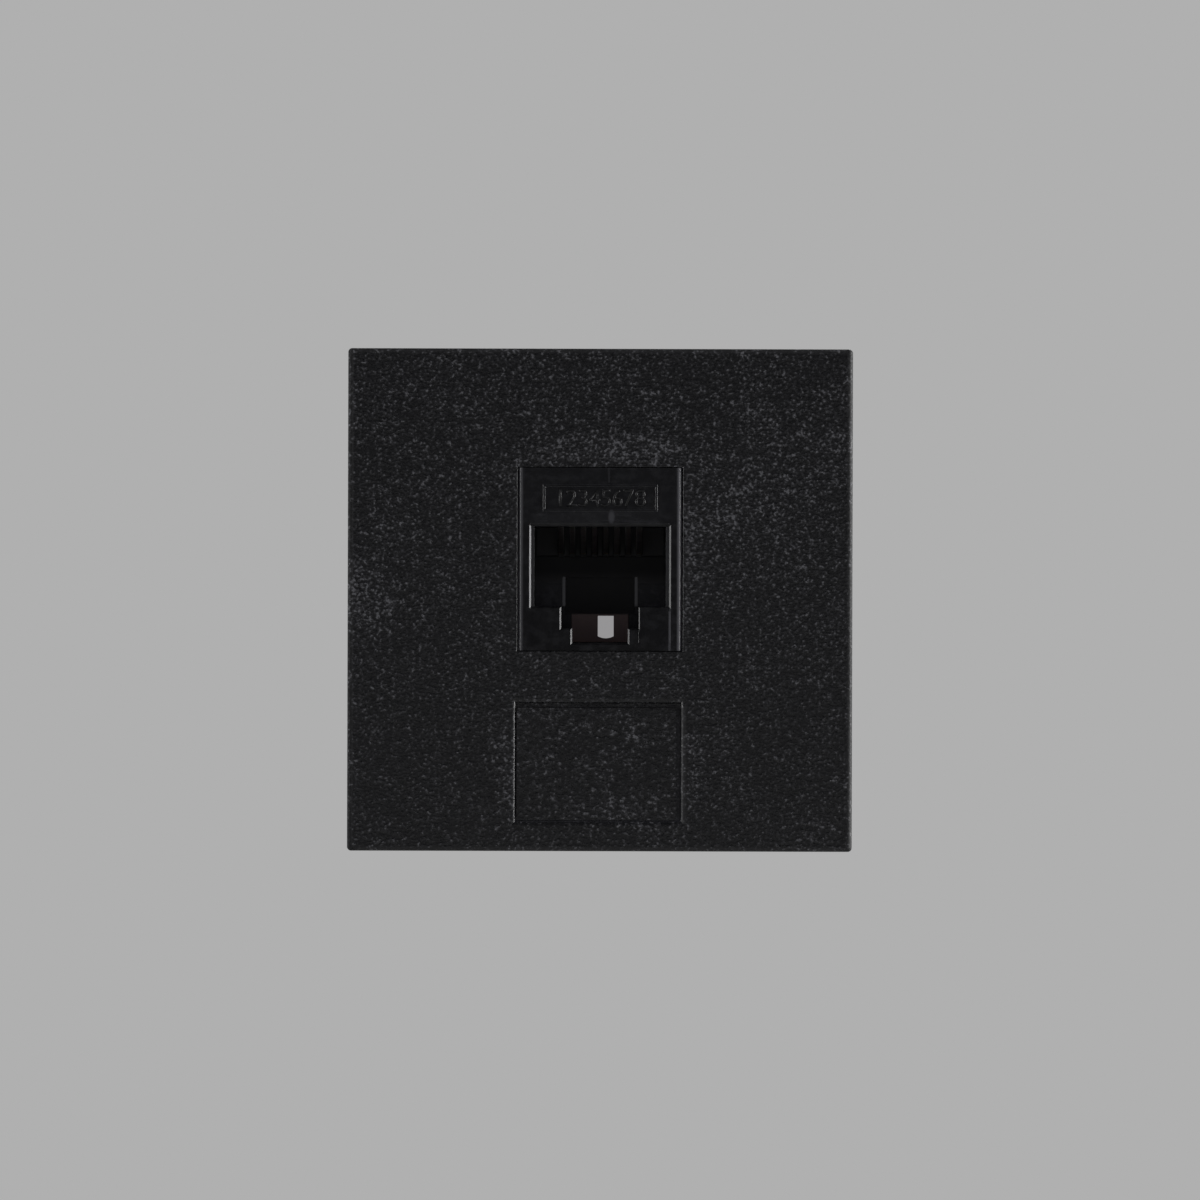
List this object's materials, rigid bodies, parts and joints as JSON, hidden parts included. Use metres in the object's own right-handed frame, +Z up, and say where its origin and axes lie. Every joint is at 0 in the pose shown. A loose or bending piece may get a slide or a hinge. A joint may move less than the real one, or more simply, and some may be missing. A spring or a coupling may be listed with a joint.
{
  "type": "ethernet socket module",
  "caption": "Square snap-in faceplate with a textured black face, a modular network socket in a keystone jack and a blank label below it; wires connect at the back.",
  "frame": {"origin": "middle of the seat ring behind the bezel, the plane that lies on the mounting frame", "axes": "+X right seen from the front, +Z up, +Y back into the mounting frame; the face looks along -Y"},
  "size_m": [0.045, 0.0331, 0.0448],
  "materials": {
    "textured_plastic": "black, fine spark-eroded grain",
    "jack_plastic": "black, smooth satin moulding",
    "cap_plastic": "black, smooth satin moulding",
    "board": "green coated board",
    "contact_gold": "gold plated spring strip",
    "terminal_tin": "tin plated strip"
  },
  "bodies": {
    "module": {"front_plate": "textured_plastic", "label_insert": "textured_plastic", "jack_housing": "jack_plastic", "contact_carrier": "jack_plastic", "circuit_board": "board", "idc_block": "jack_plastic", "base_cover": "jack_plastic", "contact_1": "contact_gold", "contact_2": "contact_gold", "contact_3": "contact_gold", "contact_4": "contact_gold", "contact_5": "contact_gold", "contact_6": "contact_gold", "contact_7": "contact_gold", "contact_8": "contact_gold", "idc_terminal_1": "terminal_tin", "idc_terminal_2": "terminal_tin", "idc_terminal_3": "terminal_tin", "idc_terminal_4": "terminal_tin", "idc_terminal_5": "terminal_tin", "idc_terminal_6": "terminal_tin", "idc_terminal_7": "terminal_tin", "idc_terminal_8": "terminal_tin"},
    "left_cap": {"wire_cap_left": "cap_plastic"},
    "right_cap": {"wire_cap_right": "cap_plastic"}
  },
  "joints": [
    {"name": "left_cap_lift", "type": "slide", "parent": "module", "child": "left_cap", "axis": [0, 0, 1], "range_m": [0, 0.008]},
    {"name": "right_cap_lift", "type": "slide", "parent": "module", "child": "right_cap", "axis": [0, 0, 1], "range_m": [0, 0.008]}
  ]
}
